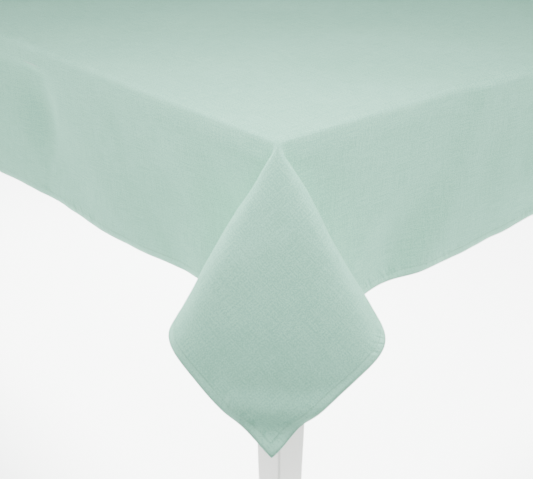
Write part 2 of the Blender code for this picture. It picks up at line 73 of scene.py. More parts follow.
class Number:
    """A number that a material works out, written as Python arithmetic."""

    def __init__(self, shading: "Shading", link: bpy.types.NodeSocket) -> None:
        """Wrap one output socket of a material's nodes."""
        self.shading = shading
        self.link = link

    def _math(self, operation: str, first: object, second: object = 0.0) -> "Number":
        """Add one Math node."""
        return self.shading.node("ShaderNodeMath", {"operation": operation}, {0: first, 1: second})

    def __add__(self, other: object) -> "Number":
        """Sum."""
        return self._math("ADD", self, other)

    def __radd__(self, other: object) -> "Number":
        """Sum with a plain number on the left."""
        return self._math("ADD", other, self)

    def __sub__(self, other: object) -> "Number":
        """Difference."""
        return self._math("SUBTRACT", self, other)

    def __rsub__(self, other: object) -> "Number":
        """Difference with a plain number on the left."""
        return self._math("SUBTRACT", other, self)

    def __mul__(self, other: object) -> "Number":
        """Product."""
        return self._math("MULTIPLY", self, other)

    def __rmul__(self, other: object) -> "Number":
        """Product with a plain number on the left."""
        return self._math("MULTIPLY", other, self)

    def __truediv__(self, other: object) -> "Number":
        """Quotient."""
        return self._math("DIVIDE", self, other)

    def __pow__(self, other: object) -> "Number":
        """Power."""
        return self._math("POWER", self, other)

    def __abs__(self) -> "Number":
        """Size without sign."""
        return self._math("ABSOLUTE", self)

    def sine(self) -> "Number":
        """Sine of an angle in radians."""
        return self._math("SINE", self)

    def floor(self) -> "Number":
        """Next whole number down."""
        return self._math("FLOOR", self)

    def wrapped(self, size: float) -> "Number":
        """Remainder, always from 0 up to size."""
        return self._math("FLOORED_MODULO", self, size)

    def above(self, limit: object) -> "Number":
        """1 where this is greater than limit, and 0 elsewhere."""
        return self._math("GREATER_THAN", self, limit)

    def greatest(self, other: object) -> "Number":
        """The larger of two numbers."""
        return self._math("MAXIMUM", self, other)

    def smooth(self, low: float, high: float) -> "Number":
        """A soft step from 0 at low to 1 at high.

        Args:
            low: where the step starts.
            high: where the step ends.

        Returns:
            The step.
        """
        settings = {"interpolation_type": "SMOOTHSTEP", "clamp": True}
        return self.shading.node(
            "ShaderNodeMapRange", settings, {"Value": self, "From Min": low, "From Max": high}
        )


class Shading:
    """The nodes of one material, or of the light that the air gives."""

    def __init__(self, name: str, world: bpy.types.World | None = None) -> None:
        """Start with only the shader and the output.

        Args:
            name: name of the material.
            world: the world, where its light is what is made.
        """
        self.material = world or bpy.data.materials.new(name)
        self.material.use_nodes = True
        self.tree = self.material.node_tree
        self.shader = self.tree.nodes["Background" if world else "Principled BSDF"]

    def node(
        self, kind: str, settings: dict | None = None, sockets: dict | None = None, output: int = 0
    ) -> Number:
        """Add any node.

        Args:
            kind: the node's type.
            settings: its properties, which are set first.
            sockets: values or links for its inputs, by name or number.
            output: number of the output that is returned.

        Returns:
            The chosen output.
        """
        made = self.tree.nodes.new(kind)
        for name, value in (settings or {}).items():
            setattr(made, name, value)
        for name, value in (sockets or {}).items():
            self._feed(made.inputs[name], value)
        return Number(self, made.outputs[output])

    def _feed(self, socket: bpy.types.NodeSocket, value: object) -> None:
        """Link a socket, or set its value.

        Args:
            socket: the input to feed.
            value: a link, a number, or a colour of three parts.
        """
        if isinstance(value, Number):
            self.tree.links.new(value.link, socket)
        elif isinstance(value, tuple) and socket.type == "RGBA" and len(value) == 3:
            socket.default_value = (*value, 1.0)
        else:
            socket.default_value = value

    def blend(self, share: object, first: object, second: object) -> Number:
        """Mix two colours by a share from 0 to 1."""
        settings = {"data_type": "RGBA", "clamp_factor": True}
        return self.node("ShaderNodeMix", settings, {0: share, 6: first, 7: second}, output=2)

    def vector(self, x: object, y: object, z: object = 0.0) -> Number:
        """Join three numbers into a vector."""
        return self.node("ShaderNodeCombineXYZ", None, {"X": x, "Y": y, "Z": z})

    def parts(self, vector: Number) -> tuple[Number, Number, Number]:
        """The three numbers of a vector."""
        split = self.node("ShaderNodeSeparateXYZ", None, {"Vector": vector}).link.node
        return tuple(Number(self, split.outputs[i]) for i in range(3))

    def stored(self, name: str) -> Number:
        """A vector that the mesh holds at each of its points."""
        return self.node("ShaderNodeAttribute", {"attribute_name": name}, output=1)

    def place(self) -> Number:
        """The place on the object, in metres."""
        return self.node("ShaderNodeTexCoord", output=3)

    def noise(self, vector: Number, scale: float, detail: float = 2.0) -> Number:
        """Soft random variation, near 0.5."""
        sockets = {"Vector": vector, "Scale": scale, "Detail": detail}
        return self.node("ShaderNodeTexNoise", {"noise_dimensions": "3D"}, sockets)

    def relief(self, height: Number, depth: float) -> Number:
        """Bump from a height of 0 to 1 that stands for this depth."""
        return self.node("ShaderNodeBump", None, {"Height": height, "Distance": depth})

    def finish(self, **sockets: object) -> bpy.types.Material:
        """Set the shader's sockets, with underscores for the spaces in their names.

        Args:
            sockets: values or links by socket name.

        Returns:
            The finished material.
        """
        for name, value in sockets.items():
            self._feed(self.shader.inputs[name.replace("_", " ")], value)
        return self.material


@dataclass(frozen=True)
class WovenCotton:
    """Piece-dyed plain-woven cotton with slightly uneven yarn."""

    name: str
    pale: Colour
    deep: Colour
    reach: tuple[float, float]
    seam: float = 10.4 * MM
    thread: float = 0.75 * MM
    slub_length: float = 34 * MM
    slub_width: float = 1.5 * MM
    sheen: float = 0.02

    def threads(self, across: Number, along: Number) -> Number:
        """Height of a plain weave: each thread goes over one and under the next.

        Args:
            across: place across the warp.
            along: place along the warp.

        Returns:
            The height, from 0 to 1.
        """
        warp = abs((across * (math.pi / self.thread)).sine())
        weft = abs((along * (math.pi / self.thread)).sine())
        parity = ((across / self.thread).floor() + (along / self.thread).floor()).wrapped(2.0)
        return (warp * parity).greatest(weft * (1 - parity))

    def slubs(self, shading: Shading, across: Number, along: Number) -> Number:
        """Long thin thick places in the yarns that run along the second direction."""
        stretched = shading.vector(across / self.slub_width, along / self.slub_length)
        return shading.noise(stretched, 1.0, 3.0)

    def puckers(self, shading: Shading, u: Number, v: Number, edge: Number) -> Number:
        """Height of the small slanting puckers that the seam pulls, in some stretches.

        Args:
            shading: the material.
            u: place along the cloth.
            v: place across the cloth.
            edge: distance from the cloth's edge.

        Returns:
            The height, above and below 0.
        """
        by_front = (self.reach[0] - abs(u)).above(edge + 0.01 * MM)
        along = v + by_front * (u - v) + edge * 0.5
        pull = shading.noise(shading.vector(along * 170.0, edge * 30.0), 1.0, 1.0)
        patchy = shading.noise(shading.vector(u * 9.0, v * 9.0), 1.0, 1.0).smooth(0.42, 0.6)
        near = 1 - abs(edge - self.seam).smooth(1 * MM, 13 * MM)
        return (pull - 0.5) * near * (patchy * 6.0 + 1.5)

    def hem(self, edge: Number) -> Number:
        """Height of the turned hem, with the line that its seam presses in.

        Args:
            edge: distance from the cloth's edge.

        Returns:
            The height.
        """
        step = 1 - edge.smooth(11.4 * MM, 12.4 * MM)
        seam = 1 - abs(edge - self.seam).smooth(0.2 * MM, 1.2 * MM)
        return step * 0.5 - seam * 0.8

    def build(self) -> bpy.types.Material:
        """Make the material.

        Returns:
            The material.
        """
        shading = Shading(self.name)
        u, v, edge = shading.parts(shading.stored(CLOTH_PLANE))
        weave = self.threads(u, v)
        yarns = (self.slubs(shading, u, v) + self.slubs(shading, v, u)) * 0.5
        flat = shading.vector(u, v)
        cloudy = shading.noise(flat, 5.0, 3.0)
        heather = shading.noise(flat, 620.0, 1.0)
        tone = (yarns - 0.5) * 2.6 + (cloudy - 0.5) * 0.7 + (heather - 0.5) * 2.8 + 0.5
        # darker along the seam, as painted shade in its groove over its real needle holes, and
        # darker at the folded edge as painted shade under the lip
        shade = (1 - abs(edge - self.seam).smooth(0.3 * MM, 1.6 * MM)) * 0.5
        tone = tone - shade - (1 - edge.smooth(0.0, 1.6 * MM)) * 0.7
        tone = tone + (1 - edge.smooth(11 * MM, 14 * MM)) * 0.3
        puckers = self.puckers(shading, u, v, edge)
        # painted shade in the puckers' valleys and painted highlight on their crests
        tone = tone + puckers * 0.25
        height = weave * 0.12 + yarns * 0.5 + self.hem(edge) + puckers
        return shading.finish(
            Base_Color=shading.blend(tone, self.deep, self.pale),
            Roughness=yarns * 0.16 + 0.78,
            Normal=shading.relief(height, 0.55 * MM),
            Sheen_Weight=self.sheen,
            Sheen_Roughness=0.45,
            Specular_IOR_Level=0.12,
        )


@dataclass(frozen=True)
class SpunThread:
    """Sewing thread of two twisted plies."""

    name: str
    colour: Colour
    shade: Colour

    def build(self) -> bpy.types.Material:
        """Make the material.

        Returns:
            The material.
        """
        shading = Shading(self.name)
        x, y, z = shading.parts(shading.place())
        twist = abs(((x + y + z) * (math.pi / (0.45 * MM))).sine())
        fuzz = shading.noise(shading.place(), 2600.0, 1.0)
        # darker in the grooves between the plies: painted shade
        colour = shading.blend(twist * 0.7 + fuzz * 0.3, self.shade, self.colour)
        return shading.finish(
            Base_Color=colour,
            Roughness=fuzz * 0.2 + 0.5,
            Normal=shading.relief(twist, 0.1 * MM),
            Sheen_Weight=0.3,
        )


@dataclass(frozen=True)
class LabelTape:
    """Blank woven satin tape."""

    name: str
    colour: Colour
    shade: Colour

    def build(self) -> bpy.types.Material:
        """Make the material.

        Returns:
            The material.
        """
        shading = Shading(self.name)
        x, _, z = shading.parts(shading.place())
        ribs = abs((z * (math.pi / (0.5 * MM))).sine())
        floats = shading.noise(shading.vector(x * 1800.0, z * 260.0), 1.0, 1.0)
        # darker in the troughs between the ribs: painted shade
        colour = shading.blend(ribs * 0.5 + floats * 0.5, self.shade, self.colour)
        return shading.finish(
            Base_Color=colour,
            Roughness=floats * 0.25 + 0.35,
            Normal=shading.relief(ribs, 0.08 * MM),
        )


class Grain(Enum):
    """Which way a wooden part's grain runs."""

    ALONG_X = 0
    ALONG_Y = 1
    ALONG_Z = 2


@dataclass(frozen=True)
class PaintedWood:
    """Satin paint, brushed along the grain, over close-grained wood."""

    name: str
    grain: Grain
    paint: Colour = (0.79, 0.785, 0.76)
    thin_paint: Colour = (0.70, 0.68, 0.63)

    def build(self) -> bpy.types.Material:
        """Make the material.

        Returns:
            The material.
        """
        shading = Shading(self.name)
        places = list(shading.parts(shading.place()))
        along = places.pop(self.grain.value)
        brush = shading.noise(
            shading.vector(places[0] * 420.0, places[1] * 420.0, along * 7.0), 1.0, 3.0
        )
        pores = shading.noise(
            shading.vector(places[0] * 900.0, places[1] * 900.0, along * 28.0), 1.0, 2.0
        )
        patches = shading.noise(shading.place(), 9.0, 3.0)
        bevel = shading.node("ShaderNodeBevel", {"samples": 4}, {"Radius": 2.5 * MM})
        normal = shading.node("ShaderNodeNewGeometry", output=1)
        turn = shading.node(
            "ShaderNodeVectorMath", {"operation": "DOT_PRODUCT"}, {0: bevel, 1: normal}, output=1
        )
        worn = (1 - turn).smooth(0.01, 0.16) * patches.smooth(0.42, 0.72)
        tone = (brush - 0.5) * 0.35 + (patches - 0.5) * 0.4 + worn * 0.7 + 0.25
        colour = shading.blend(tone.smooth(0.0, 1.0), self.paint, self.thin_paint)
        height = brush * 0.7 - pores.smooth(0.62, 0.75) * 0.5
        return shading.finish(
            Base_Color=colour,
            Roughness=patches * 0.16 + brush * 0.12 + 0.28,
            Normal=shading.relief(height, 0.12 * MM),
            Coat_Weight=0.15,
            Coat_Roughness=0.35,
        )


@dataclass(frozen=True)
class ZincSteel:
    """Zinc-plated steel with a faint crystalline bloom."""

    name: str
    colour: Colour = (0.60, 0.61, 0.63)
    bloom: Colour = (0.42, 0.44, 0.47)

    def build(self) -> bpy.types.Material:
        """Make the material.

        Returns:
            The material.
        """
        shading = Shading(self.name)
        place = shading.place()
        crystals = shading.node(
            "ShaderNodeTexVoronoi", {"feature": "F1"}, {"Vector": place, "Scale": 260.0}
        )
        smears = shading.noise(place, 55.0, 3.0)
        scratches = shading.noise(place, 900.0, 2.0)
        tone = crystals * 0.5 + smears * 0.5
        return shading.finish(
            Base_Color=shading.blend(tone.smooth(0.2, 0.8), self.colour, self.bloom),
            Roughness=smears * 0.25 + 0.25,
            Metallic=1.0,
            Normal=shading.relief(scratches, 0.04 * MM),
        )


@dataclass(frozen=True)
class Felt:
    """Dense pressed felt."""

    name: str
    colour: Colour = (0.20, 0.18, 0.165)
    fibre: Colour = (0.36, 0.33, 0.30)

    def build(self) -> bpy.types.Material:
        """Make the material.

        Returns:
            The material.
        """
        shading = Shading(self.name)
        fibres = shading.noise(shading.place(), 1400.0, 4.0)
        tufts = shading.noise(shading.place(), 260.0, 2.0)
        return shading.finish(
            Base_Color=shading.blend(fibres.smooth(0.35, 0.75), self.colour, self.fibre),
            Roughness=fibres * 0.1 + 0.85,
            Normal=shading.relief(fibres * 0.6 + tufts * 0.4, 0.4 * MM),
            Sheen_Weight=0.4,
        )


@dataclass(frozen=True)
class StudioPaper:
    """Matt white paper that glows under the table and behind it, as painted light where the
    table's shade falls.
    """

    name: str
    low: tuple[float, float]
    high: tuple[float, float]
    near_fade: float = 0.5
    far_fade: float = 1.8
    glow: float = 6.0
    colour: Colour = (0.9, 0.9, 0.9)

    def build(self) -> bpy.types.Material:
        """Make the material.

        Returns:
            The material.
        """
        shading = Shading(self.name)
        place = shading.place()
        x, y, _ = shading.parts(place)
        left = (self.low[0] - x) / self.far_fade
        right = (x - self.high[0]) / self.near_fade
        front = (self.low[1] - y) / self.near_fade
        back = (y - self.high[1]) / self.far_fade
        past_x = left.greatest(right).greatest(0.0)
        past_y = front.greatest(back).greatest(0.0)
        lit = 1 - ((past_x * past_x + past_y * past_y) ** 0.5).smooth(0.0, 1.0)
        tooth = shading.noise(place, 300.0, 2.0)
        return shading.finish(
            Base_Color=self.colour,
            Roughness=tooth * 0.05 + 0.9,
            # painted light: the paper glows brightest under and behind the table and dims away
            # from it
            Emission_Color=shading.blend(lit, (0.04, 0.04, 0.04), (1.0, 1.0, 1.0)),
            Emission_Strength=self.glow,
        )


# ---- the way the cloth hangs ----------------------------------------------------------------


def soft_step(values: np.ndarray, low: float, high: float) -> np.ndarray:
    """A soft step from 0 at low to 1 at high."""
    share = np.clip((values - low) / (high - low), 0.0, 1.0)
    return share * share * (3 - 2 * share)


@dataclass(frozen=True)
class Ripple:
    """Smooth random unevenness made of a few crossing waves."""

    seed: int
    shortest: float
    longest: float
    waves: int = 14

    def heights(self, flat: np.ndarray) -> np.ndarray:
        """Height at each flat place, mostly from -1 to 1.

        Args:
            flat: places on the flat cloth.

        Returns:
            One height for each place.
        """
        chance = np.random.default_rng(self.seed)
        total = np.zeros(len(flat))
        for _ in range(self.waves):
            length = self.shortest * (self.longest / self.shortest) ** chance.random()
            turn, phase = FULL_TURN * chance.random(2)
            direction = np.array([math.cos(turn), math.sin(turn)])
            total += np.cos(flat @ direction * (FULL_TURN / length) + phase)
        return total * math.sqrt(2 / self.waves) * 0.6


@dataclass(frozen=True)
class Pleat:
    """How the spare cloth folds at one corner.

    The shape is given from above, one unit below the corner of the table, as distances along
    the edge and away from the table. A drop leans out by its lean, tucks in as it nears the
    neck, turns out to the wing, and crosses the front of the flap at the crest.
    """

    long_lean: float
    short_lean: float
    long_tuck: float = 0.12
    short_tuck: float = 0.11
    neck: float = 0.33
    wing: tuple[float, float] = (-0.48, 0.44)
    crest: float = 0.175
    crest_width: float = 0.33
    lopsided: float = 0.0
    bulge: float = 8 * MM
    dent: float = 7 * MM
    dent_place: float = 0.311
    dent_length: float = 0.058
    tip_kick: float = 8 * MM
    tip_shift: float = 6.5 * MM
    STEPS = 40

    def outline(self, wing_scale: float) -> list[tuple[float, float]]:
        """Control points of the pleat from the long side's drop round to the short side's.

        Args:
            wing_scale: how far out the wings reach, as a share of their plan.

        Returns:
            The points, as (along, out).
        """

        def half(lean: float, tuck: float) -> list[tuple[float, float]]:
            """Control points from a straight drop to the wing.

            Args:
                lean: how far the drop leans out.
                tuck: how far it tucks in at the neck.

            Returns:
                The points, as (along, out).
            """
            near = lean - tuck
            return [
                (-3.0, lean),
                (-2.0, lean),
                (-1.3, lean),
                (-self.neck - 0.45, lean),
                (-self.neck - 0.12, near + 0.02),
                (-self.neck * 0.6, near),
                (self.wing[0] * wing_scale, self.wing[1] * wing_scale),
                (self.wing[0] * wing_scale * 0.92, self.wing[1] * wing_scale + 0.05),
            ]

        crest, width = self.crest, self.crest_width
        front = [
            (crest - width, crest + width + self.lopsided),
            (crest, crest),
            (crest + width - self.lopsided, crest - width),
        ]
        short = [(out, along) for along, out in reversed(half(self.short_lean, self.short_tuck))]
        return half(self.long_lean, self.long_tuck) + front + short

    def directions(self, wing_scale: float) -> np.ndarray:
        """Unit directions from the corner to the pleat, as (along, out, up).

        Args:
            wing_scale: how far out the wings reach, as a share of their plan.

        Returns:
            One direction for each step along the outline.
        """
        points = np.array(self.outline(wing_scale))
        t = np.arange(self.STEPS)[:, None] / self.STEPS
        weights = np.hstack(
            [(1 - t) ** 3, 3 * t**3 - 6 * t**2 + 4, 3 * (t + t**2 - t**3) + 1, t**3]
        )
        curve = [weights @ points[i : i + 4] / 6 for i in range(len(points) - 3)]
        path = np.vstack(curve)
        rays = np.hstack([path, -np.ones((len(path), 1))])
        return rays / np.linalg.norm(rays, axis=1)[:, None]

    def pushed(self, angle: np.ndarray, reach: np.ndarray, length: float) -> np.ndarray:
        """How far the front of the flap stands from a straight-sided cone.

        Args:
            angle: angle on the flat cloth, from the long edge.
            reach: distance from the corner of the top.
            length: distance from the corner of the top to the tip.

        Returns:
            The push, as (along, out, up).
        """
        across = (angle - 1.5 * RIGHT_ANGLE) / RIGHT_ANGLE
        share = np.clip(reach / length, 0, 1)
        rise = self.bulge * np.sin(math.pi * share) * np.exp(-((across / 0.5) ** 2))
        phase = FULL_TURN * (reach - self.dent_place) / self.dent_length
        near = np.exp(-(((reach - self.dent_place) / (0.55 * self.dent_length)) ** 2))
        middle = np.exp(-(((across - 0.06) / 0.19) ** 2))
        rise = rise - self.dent * np.sin(phase) * near * middle
        rise = rise + self.tip_kick * np.clip((share - 0.84) / 0.16, 0, 1) ** 2
        swing = self.tip_shift * soft_step(share, 0.85, 1.0)
        return np.stack([(rise + swing) * 0.7, (rise - swing) * 0.7, 0 * rise], axis=1)

    def table(self) -> tuple[np.ndarray, np.ndarray]:
        """Angles on the flat cloth, and the direction that each takes when it hangs.

        Returns:
            The angles from the long edge, and the unit directions. The wings are sized so that
            the pleat takes up the three right angles of cloth that lie outside the top.
        """
        low, high = 0.3, 3.0
        for _ in range(40):
            scale = (low + high) / 2
            rays = self.directions(scale)
            bends = np.arccos(np.clip((rays[1:] * rays[:-1]).sum(axis=1), -1, 1))
            angles = math.acos(-rays[0, 0]) + np.concatenate([[0], np.cumsum(bends)])
            if angles[-1] + math.acos(-rays[-1, 1]) > 3 * RIGHT_ANGLE:
                high = scale
            else:
                low = scale
        angles = np.concatenate([[0], angles, [3 * RIGHT_ANGLE]])
        rays = np.vstack([[-1, 0, 0], rays, [0, -1, 0]])
        return angles, rays


@dataclass(frozen=True)
class SoftFold:
    """A shallow upright fold in one drop."""

    place: float
    width: float
    depth: float


@dataclass(frozen=True)
class Slab:
    """The table top that the cloth lies on, with its rounded corners and edges."""

    low: tuple[float, float, float]
    high: tuple[float, float, float]
    corner_radius: float = 14 * MM
    edge_radius: float = 9 * MM

    def cleared(self, places: np.ndarray, gap: float) -> np.ndarray:
        """Move places straight out of the slab, to at least this gap from it.

        The slab counts as one edge radius thicker below, so that the cloth leaves the wall
        only past the rounding of the lower edge.

        Args:
            places: places to move.
            gap: least distance from the slab.

        Returns:
            The moved places.
        """
        low = np.array(self.low) - (0, 0, self.edge_radius)
        high = np.array(self.high)
        from_middle = places - (low + high) / 2
        signs = np.where(from_middle >= 0, 1.0, -1.0)
        past = np.abs(from_middle) - (high - low) / 2
        corner = np.maximum(past[:, :2] + self.corner_radius, 0)
        corner_reach = np.linalg.norm(corner, axis=1)
        nearest_side = np.eye(2)[past[:, :2].argmax(axis=1)]
        at_corner = (corner_reach > 0)[:, None]
        corner_way = corner / np.maximum(corner_reach, TINY)[:, None]
        level_way = np.where(at_corner, corner_way, nearest_side)
        round_gap = corner_reach - self.corner_radius
        plan = np.where(at_corner[:, 0], round_gap, past[:, :2].max(axis=1))
        section = np.stack([plan, past[:, 2]], axis=1) + self.edge_radius
        outside = np.maximum(section, 0)
        reach = np.linalg.norm(outside, axis=1)
        way = np.where(
            (reach > 0)[:, None],
            outside / np.maximum(reach, TINY)[:, None],
            np.eye(2)[section.argmax(axis=1)],
        )
        distance = np.where(reach > 0, reach, section.max(axis=1)) - self.edge_radius
        push = np.maximum(gap - distance, 0)[:, None]
        out = np.hstack([level_way * way[:, :1], way[:, 1:]])
        return places + push * out * signs


@dataclass(frozen=True)
class Dimple:
    """A soft hollow, or a swelling where its depth is positive, part of the way down a drop."""

    place: float
    down: float
    width: float
    height: float
    depth: float


@dataclass
class Drape:
    """Where each point of the flat cloth lies when the cloth hangs over the table."""

    half_length: float
    half_width: float
    level: float
    overhang: float
    pleats: dict[tuple[int, int], Pleat]
    folds: dict[tuple[str, int], list[SoftFold]]
    dimples: dict[tuple[str, int], list[Dimple]]
    slab: Slab
    gap: float = 0.3 * MM
    edge_radius: float = 10 * MM
    apex_radius: float = 6 * MM
    tables: dict = field(default_factory=dict)

    def __post_init__(self) -> None:
        """Work out each corner's pleat once."""
        self.tables = {signs: pleat.table() for signs, pleat in self.pleats.items()}

    def sharp(self, flat: np.ndarray) -> np.ndarray:
        """Place of each flat point if the cloth creased sharply at the edges of the top.

        Args:
            flat: places on the flat cloth.

        Returns:
            The places in the room.
        """
        signs = np.where(flat >= 0, 1, -1)
        past = np.abs(flat) - (self.half_length, self.half_width)
        angle = np.arctan2(past[:, 1], -past[:, 0]) % FULL_TURN
        reach = np.hypot(past[:, 0], past[:, 1])
        local = np.zeros((len(flat), 3))
        for corner, (angles, rays) in self.tables.items():
            here = (signs == corner).all(axis=1)
            ray = np.stack([np.interp(angle[here], angles, rays[:, i]) for i in range(3)], axis=1)
            ray /= np.linalg.norm(ray, axis=1)[:, None]
            tip = self.overhang * math.sqrt(2)
            push = self.pleats[corner].pushed(angle[here], reach[here], tip)
            local[here] = ray * reach[here, None] + push
        on_top = (past <= 0).all(axis=1)
        local[on_top] = np.hstack([past[on_top], np.zeros((on_top.sum(), 1))])
        local += self.folded(flat, signs, past)
        corner_place = np.array([self.half_length, self.half_width])
        placed = (local[:, :2] + corner_place) * signs
        return np.hstack([placed, local[:, 2:] + self.level])

    def folded(self, flat: np.ndarray, signs: np.ndarray, past: np.ndarray) -> np.ndarray:
        """Push of the soft folds, away from the table, before the signs are put back.

        Args:
            flat: places on the flat cloth.
            signs: which quarter of the cloth each lies in.
            past: distance of each past the two edges of the top.

        Returns:
            The push for each place.
        """
        push = np.zeros((len(flat), 3))
        for axis, side_name in ((1, "long"), (0, "short")):
            along = flat[:, 1 - axis]
            hang = np.clip(past[:, axis], 0, None)
            from_corner = -past[:, 1 - axis]
            free = soft_step(from_corner, 0.35 * self.overhang, 1.1 * self.overhang)
            grow = (hang / self.overhang) ** 1.15
            for sign in (-1, 1):
                here = signs[:, axis] == sign
                wave = np.zeros(len(flat))
                for fold in self.folds[(side_name, sign)]:
                    wave += fold.depth * np.exp(-(((along - fold.place) / fold.width) ** 2))
                push[here, axis] += (wave * grow * free)[here]
                for dimple in self.dimples[(side_name, sign)]:
                    spread = ((along - dimple.place) / dimple.width) ** 2
                    spread += ((hang - dimple.down) / dimple.height) ** 2
                    hollow = dimple.depth * np.exp(-spread) * (hang > 0)
                    push[here, axis] += hollow[here]
        return push

    def placed(self, flat: np.ndarray) -> np.ndarray:
        """Place of each flat point, with the cloth's edges and folds rounded.

        Args:
            flat: places on the flat cloth.

        Returns:
            The places in the room.
        """
        past = np.abs(flat) - (self.half_length, self.half_width)
        from_apex = np.linalg.norm(past, axis=1)
        grow = soft_step(from_apex, 0.02, 0.30)
        radius = self.apex_radius + (self.edge_radius - self.apex_radius) * grow
        total = self.sharp(flat)
        weight = 1.0
        for ring, count in ((0.5, 6), (1.0, 12)):
            for step in range(count):
                turn = FULL_TURN * (step + ring) / count
                shift = np.array([math.cos(turn), math.sin(turn)]) * ring
                total = total + self.sharp(flat + shift * radius[:, None])
                weight += 1.0
        return self.slab.cleared(total / weight, self.gap)


class Side(Enum):
    """The four sides of the cloth: axis across the side, and which way it faces."""

    FRONT = (1, -1)
    RIGHT = (0, 1)
    BACK = (1, 1)
    LEFT = (0, -1)

    @property
    def title(self) -> str:
        """The side's name in lower case."""
        return self.name.lower()


@dataclass
class ClothSurface:
    """The cloth's inner face as a grid of places, with normals that point outwards."""

    drape: Drape
    stitch_line: float
    step: float = 6.25 * MM
    bend_band: float = 14 * MM
    fine_band: float = 0.36
    places: np.ndarray = field(default_factory=lambda: np.zeros(0))
    normals: np.ndarray = field(default_factory=lambda: np.zeros(0))
    lines: tuple = ()

    RIM = 0.5 * MM  # the panel ends this far inside the folded edge of the hem

    def __post_init__(self) -> None:
        """Lay out the grid and hang it."""
        halves = (self.drape.half_length, self.drape.half_width)
        self.lines = tuple(self.line_places(half) for half in halves)
        flat = self.flat_grid().reshape(-1, 2)
        self.places = self.drape.placed(flat).reshape(*self.shape, 3)
        self.normals = self.worked_normals()

    @property
    def shape(self) -> tuple[int, int]:
        """Number of grid lines each way."""
        return len(self.lines[0]), len(self.lines[1])

    def line_places(self, half: float) -> np.ndarray:
        """Places of the grid lines across one direction, finer at the folded edge and the hem.

        Args:
            half: half the size of the top in this direction.

        Returns:
            The places, from one edge of the cloth to the other.
        """
        reach = half + self.drape.overhang
        hem = reach - HEM_WIDTH
        bend = self.bend_band
        middle = half - self.fine_band
        pieces = [
            (0, middle, self.step * 1.35),
            (middle, half - bend, self.step),
            (half - bend, half + bend, self.step * 0.55),
            (half + bend, hem, self.step),
            (hem, reach - self.RIM, self.step * 0.7),
        ]
        spots = [0.0]
        for low, high, step in pieces:
            count = max(1, round((high - low) / step))
            spots += [low + (high - low) * i / count for i in range(1, count + 1)]
        outer = np.array(spots)
        return np.concatenate([-outer[:0:-1], outer])

    def flat_grid(self) -> np.ndarray:
        """The flat place of each grid point."""
        return np.stack(np.meshgrid(*self.lines, indexing="ij"), axis=-1)

    def edge_distance(self, flat: np.ndarray) -> np.ndarray:
        """Distance of flat places from the nearest edge of the cloth."""
        reach = np.array([self.drape.half_length, self.drape.half_width]) + self.drape.overhang
        return (reach - np.abs(flat)).min(axis=-1)

    def worked_normals(self) -> np.ndarray:
        """Normals of the grid.

        Returns:
            A unit normal for each grid point.
        """
        along = np.gradient(self.places, axis=0)
        across = np.gradient(self.places, axis=1)
        normals = np.cross(along, across)
        return normals / np.linalg.norm(normals, axis=-1)[..., None]

    def press_out(self, heights: np.ndarray) -> None:
        """Move the grid along its normals by these heights."""
        self.places = self.places + self.normals * heights[..., None]
        self.normals = self.worked_normals()

    def clear_table(self) -> None:
        """Move the grid out of the table top where it has sunk in."""
        flat = self.places.reshape(-1, 3)
        self.places = self.drape.slab.cleared(flat, self.drape.gap).reshape(self.places.shape)
        self.normals = self.worked_normals()

    def at(self, flat: np.ndarray) -> tuple[np.ndarray, np.ndarray]:
        """Places and normals of any flat points, read from the grid.

        Args:
            flat: places on the flat cloth, which may lie a little past its edge.

        Returns:
            The places on the inner face, and the unit normals there.
        """
        cells, shares = [], []
        for axis in range(2):
            line = self.lines[axis]
            cell = np.clip(np.searchsorted(line, flat[:, axis]) - 1, 0, len(line) - 2)
            cells.append(cell)
            shares.append((flat[:, axis] - line[cell]) / (line[cell + 1] - line[cell]))
        found = []
        for grid in (self.places, self.normals):
            value = np.zeros((len(flat), 3))
            for i in (0, 1):
                for j in (0, 1):
                    share_u = shares[0] if i else 1 - shares[0]
                    share_v = shares[1] if j else 1 - shares[1]
                    value += grid[cells[0] + i, cells[1] + j] * (share_u * share_v)[:, None]
            found.append(value)
        found[1] /= np.linalg.norm(found[1], axis=1)[:, None]
        return found[0], found[1]

    def on_side(self, side: Side, along: np.ndarray, hang: np.ndarray) -> np.ndarray:
        """Flat places from places along a side and distances past the edge of the top.

        Args:
            side: the side of the cloth.
            along: places along it.
            hang: distances past the edge of the top.

        Returns:
            The flat places.
        """
        axis, sign = side.value
        halves = (self.drape.half_length, self.drape.half_width)
        across = sign * (halves[axis] + hang)
        columns = (along, across) if axis == 1 else (across, along)
        return np.stack(columns, axis=-1)

    def half_side(self, side: Side) -> float:
        """Half the length of a side of the top."""
        return (self.drape.half_width, self.drape.half_length)[side.value[0]]


# ---- meshes ---------------------------------------------------------------------------------


def add_object(name: str, data: bpy.types.ID) -> bpy.types.Object:
    """Make an object and put it in the scene.

    Args:
        name: its name.
        data: its mesh, light or camera.

    Returns:
        The new object.
    """
    made = bpy.data.objects.new(name, data)
    bpy.context.scene.collection.objects.link(made)
    return made


def add_piece(
    name: str,
    places: np.ndarray,
    faces: list,
    material: bpy.types.Material,
    plane: np.ndarray | None = None,
) -> bpy.types.Object:
    """Make a smooth mesh object.

    Args:
        name: the piece's name.
        places: its points.
        faces: its faces, as point numbers.
        material: its finish.
        plane: place on the flat cloth and distance from its edge, for each point.

    Returns:
        The new object.
    """
    mesh = bpy.data.meshes.new(name)
    mesh.from_pydata(places.tolist(), [], faces)
    mesh.polygons.foreach_set("use_smooth", [True] * len(mesh.polygons))
    mesh.materials.append(material)
    if plane is not None:
        stored = mesh.attributes.new(CLOTH_PLANE, "FLOAT_VECTOR", "POINT")
        stored.data.foreach_set("vector", plane.astype(np.float32).ravel())
    mesh.update()
    return add_object(name, mesh)


